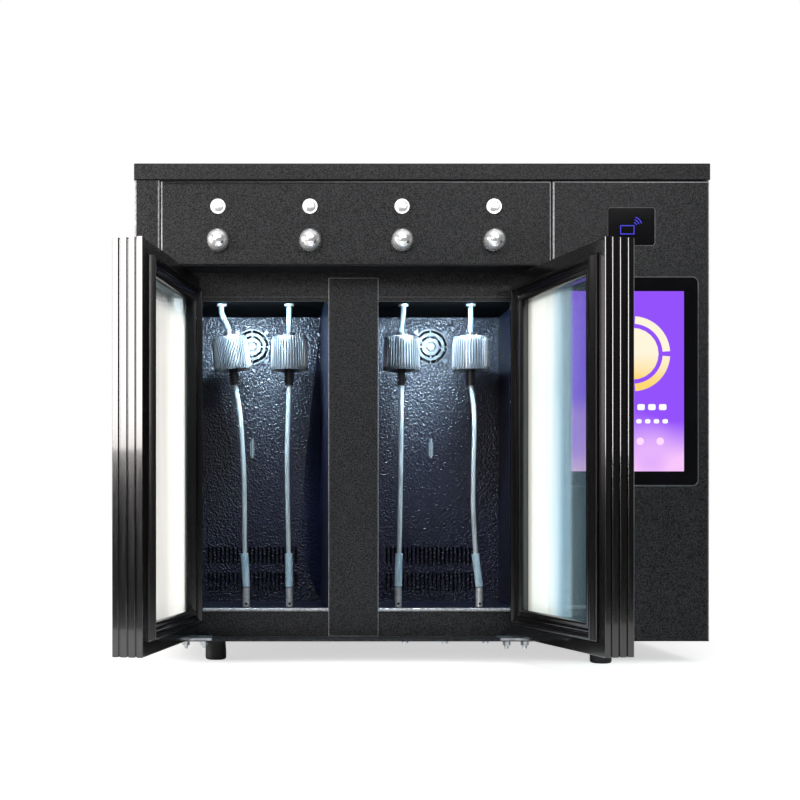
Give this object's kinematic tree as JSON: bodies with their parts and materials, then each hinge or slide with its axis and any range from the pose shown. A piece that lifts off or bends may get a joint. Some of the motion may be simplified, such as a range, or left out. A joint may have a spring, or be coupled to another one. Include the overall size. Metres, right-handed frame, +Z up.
{
  "type": "wine preservation dispenser",
  "caption": "Countertop cabinet that cools opened wine bottles behind two glass doors, keeps them under gas and pours through push-button taps beside a touch screen.",
  "frame": {"origin": "on the worktop, in the middle of the box that the dispenser takes with its doors open as stored", "axes": "+X to the right as seen from the front, along the cabinet's width; +Y to the rear; +Z up"},
  "size_m": [0.6922, 0.6316, 0.602],
  "materials": {
    "powder_black": "black powder coat with a fine texture",
    "zinc_steel": "zinc plated",
    "bay_lining": "dark embossed sheet with a soft sheen",
    "foam": "charcoal rigid foam",
    "lamp": "diffuser of a cool white light",
    "grille_metal": "pressed sheet",
    "fan_plastic": "moulded black",
    "bare_aluminium": "extruded",
    "ceramic": "ceramic plates",
    "chrome": "polished",
    "white_nylon": "white, slightly translucent",
    "stopper_rubber": "moulded",
    "stopper_metal": "fluted, satin",
    "clear_tube": "translucent",
    "steel": "stainless",
    "screen_glass": "black printed glass",
    "circuit_board": "solder mask",
    "door_black": "gloss black",
    "glass": "clear, double glazed",
    "gasket_rubber": "soft bellows",
    "foot_rubber": "moulded"
  },
  "bodies": {
    "cabinet": {"base_pan": "powder_black", "left_side_panel": "powder_black", "right_side_panel": "powder_black", "rear_panel": "powder_black", "top_lid": "powder_black", "tap_fascia": "powder_black", "control_fascia": "powder_black", "bay_face_frame": "powder_black", "divider_strip": "powder_black", "compartment_wall": "zinc_steel", "hinge_brackets": "zinc_steel", "cover_screws": "zinc_steel", "dispense_valves": "zinc_steel", "gas_regulator": "zinc_steel", "button_springs": "zinc_steel", "left_bay_liner": "bay_lining", "right_bay_liner": "bay_lining", "foam_insulation": "foam", "bay_lamps": "lamp", "fan_grilles": "grille_metal", "fan_frames": "fan_plastic", "display_module": "fan_plastic", "reader_window": "fan_plastic", "power_inlet": "fan_plastic", "heat_sinks": "bare_aluminium", "gas_manifold": "bare_aluminium", "power_supply": "bare_aluminium", "thermoelectric_modules": "ceramic", "spouts": "chrome", "button_housings": "chrome", "hinge_pins": "chrome", "tube_ferrules": "white_nylon", "supply_tubes": "white_nylon", "temperature_probes": "white_nylon", "stopper_plugs": "stopper_rubber", "dip_tube_1": "clear_tube", "dip_tube_2": "clear_tube", "dip_tube_3": "clear_tube", "dip_tube_4": "clear_tube", "dip_tube_ends": "steel", "screen_glass": "screen_glass", "control_board": "circuit_board", "feet": "foot_rubber"},
    "left_door": {"left_door_frame": "door_black", "left_door_glazing": "glass", "left_door_gasket": "gasket_rubber"},
    "right_door": {"right_door_frame": "door_black", "right_door_glazing": "glass", "right_door_gasket": "gasket_rubber"},
    "tap_button_1": {"button_1": "chrome"},
    "tap_button_2": {"button_2": "chrome"},
    "tap_button_3": {"button_3": "chrome"},
    "tap_button_4": {"button_4": "chrome"},
    "stopper_cap_1_body": {"stopper_cap_1": "stopper_metal"},
    "stopper_cap_2_body": {"stopper_cap_2": "stopper_metal"},
    "stopper_cap_3_body": {"stopper_cap_3": "stopper_metal"},
    "stopper_cap_4_body": {"stopper_cap_4": "stopper_metal"},
    "left_fan_rotor_body": {"left_fan_rotor": "fan_plastic"},
    "right_fan_rotor_body": {"right_fan_rotor": "fan_plastic"},
    "exhaust_fan_rotor_body": {"exhaust_fan_rotor": "fan_plastic"}
  },
  "joints": [
    {"name": "left_door_hinge", "type": "hinge", "parent": "cabinet", "child": "left_door", "pos_m": [-0.2985, -0.09713, 0.033], "axis": [0, 0, 1], "range_deg": [-18.6, 101.4]},
    {"name": "right_door_hinge", "type": "hinge", "parent": "cabinet", "child": "right_door", "pos_m": [0.1395, -0.09713, 0.033], "axis": [0, 0, -1], "range_deg": [-16.7, 103.3]},
    {"name": "button_1_press", "type": "slide", "parent": "cabinet", "child": "tap_button_1", "axis": [0, 1, 0], "range_m": [0, 0.0025], "stiffness_N_per_m": 400, "springref_m": -0.0015, "deforming": ["button_springs"]},
    {"name": "button_2_press", "type": "slide", "parent": "cabinet", "child": "tap_button_2", "axis": [0, 1, 0], "range_m": [0, 0.0025], "stiffness_N_per_m": 400, "springref_m": -0.0015, "deforming": ["button_springs"]},
    {"name": "button_3_press", "type": "slide", "parent": "cabinet", "child": "tap_button_3", "axis": [0, 1, 0], "range_m": [0, 0.0025], "stiffness_N_per_m": 400, "springref_m": -0.0015, "deforming": ["button_springs"]},
    {"name": "button_4_press", "type": "slide", "parent": "cabinet", "child": "tap_button_4", "axis": [0, 1, 0], "range_m": [0, 0.0025], "stiffness_N_per_m": 400, "springref_m": -0.0015, "deforming": ["button_springs"]},
    {"name": "stopper_cap_1_turn", "type": "hinge", "parent": "cabinet", "child": "stopper_cap_1_body", "pos_m": [-0.2345, 0.08387, 0.3965], "axis": [-0.1219, 0, 0.9925], "range_deg": [0, 90]},
    {"name": "stopper_cap_2_turn", "type": "hinge", "parent": "cabinet", "child": "stopper_cap_2_body", "pos_m": [-0.1565, 0.08387, 0.3965], "axis": [0, 0, 1], "range_deg": [0, 90]},
    {"name": "stopper_cap_3_turn", "type": "hinge", "parent": "cabinet", "child": "stopper_cap_3_body", "pos_m": [-0.005, 0.08387, 0.3965], "axis": [0, 0, 1], "range_deg": [0, 90]},
    {"name": "stopper_cap_4_turn", "type": "hinge", "parent": "cabinet", "child": "stopper_cap_4_body", "pos_m": [0.0885, 0.08387, 0.3965], "axis": [0, 0, 1], "range_deg": [0, 90]},
    {"name": "left_fan_rotor_spin", "type": "hinge", "parent": "cabinet", "child": "left_fan_rotor_body", "pos_m": [-0.20788, 0.20517, 0.421], "axis": [0, 1, 0], "continuous": true},
    {"name": "right_fan_rotor_spin", "type": "hinge", "parent": "cabinet", "child": "right_fan_rotor_body", "pos_m": [0.04888, 0.20517, 0.421], "axis": [0, 1, 0], "continuous": true},
    {"name": "exhaust_fan_rotor_spin", "type": "hinge", "parent": "cabinet", "child": "exhaust_fan_rotor_body", "pos_m": [-0.0795, 0.27707, 0.338], "axis": [0, 1, 0], "continuous": true}
  ]
}
